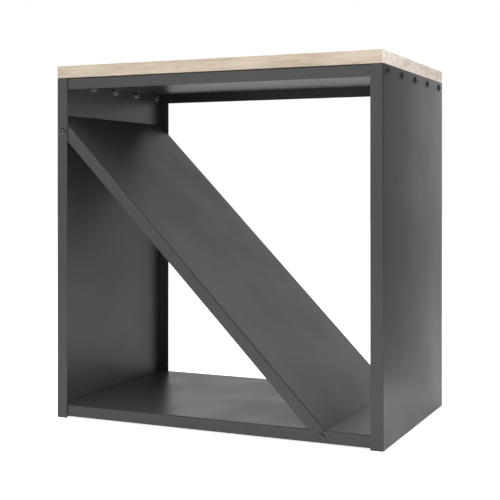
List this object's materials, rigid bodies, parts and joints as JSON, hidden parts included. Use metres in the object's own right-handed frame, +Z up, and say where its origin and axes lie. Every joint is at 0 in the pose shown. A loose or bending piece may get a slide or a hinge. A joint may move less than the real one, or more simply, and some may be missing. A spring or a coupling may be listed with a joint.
{
  "type": "log holder",
  "caption": "Open box log holder of folded sheet steel with a sloping divider inside and a flush oak board on top.",
  "frame": {"origin": "on the floor, in the middle of the box's outline", "axes": "+X to the right as seen from the front, +Y from the front to the back, +Z up"},
  "size_m": [0.8068, 0.5068, 0.828],
  "materials": {
    "powder_coated_steel": "satin anthracite powder coat",
    "oak": "pale limed oak, matt oiled",
    "dark_bolt_steel": "dark grey coated",
    "zinc_plated_steel": "bright zinc plated"
  },
  "bodies": {
    "root": {"top_board": "oak", "top_board_screws": "dark_bolt_steel", "top_tray": "powder_coated_steel", "bottom_tray": "powder_coated_steel", "left_side_panel": "powder_coated_steel", "right_side_panel": "powder_coated_steel", "diagonal_divider": "powder_coated_steel", "divider_foot_tabs": "powder_coated_steel", "left_top_bolts": "dark_bolt_steel", "right_top_bolts": "dark_bolt_steel", "left_top_washers": "zinc_plated_steel", "right_top_washers": "zinc_plated_steel", "left_top_nuts": "zinc_plated_steel", "right_top_nuts": "zinc_plated_steel", "left_base_studs": "zinc_plated_steel", "right_base_studs": "zinc_plated_steel", "left_base_washers": "zinc_plated_steel", "right_base_washers": "zinc_plated_steel", "left_base_nuts": "zinc_plated_steel", "right_base_nuts": "zinc_plated_steel", "divider_front_bolts": "dark_bolt_steel", "divider_rear_bolts": "dark_bolt_steel", "divider_front_washers": "zinc_plated_steel", "divider_rear_washers": "zinc_plated_steel", "divider_front_nuts": "zinc_plated_steel", "divider_rear_nuts": "zinc_plated_steel"}
  },
  "joints": []
}
